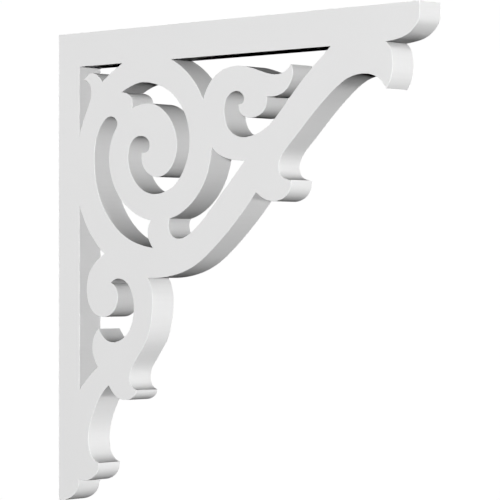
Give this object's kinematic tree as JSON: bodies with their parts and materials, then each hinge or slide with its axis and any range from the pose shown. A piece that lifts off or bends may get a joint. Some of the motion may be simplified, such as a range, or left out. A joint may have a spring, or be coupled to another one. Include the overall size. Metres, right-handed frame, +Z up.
{
  "type": "pierced scroll bracket",
  "caption": "Flat pierced scroll bracket sawn from white cellular board, with straight wall and soffit edges and open scrollwork with a leaf between them.",
  "frame": {"origin": "middle of the flat face that lies on the wall: half way up it and half way through the board", "axes": "+X out from the wall, +Y through the thickness of the board, +Z up to the soffit"},
  "size_m": [0.4064, 0.0254, 0.4064],
  "materials": {
    "white_pvc": "smooth satin white board face, finely sawn edges"
  },
  "bodies": {
    "root": {"scroll_bracket": "white_pvc"}
  },
  "joints": []
}
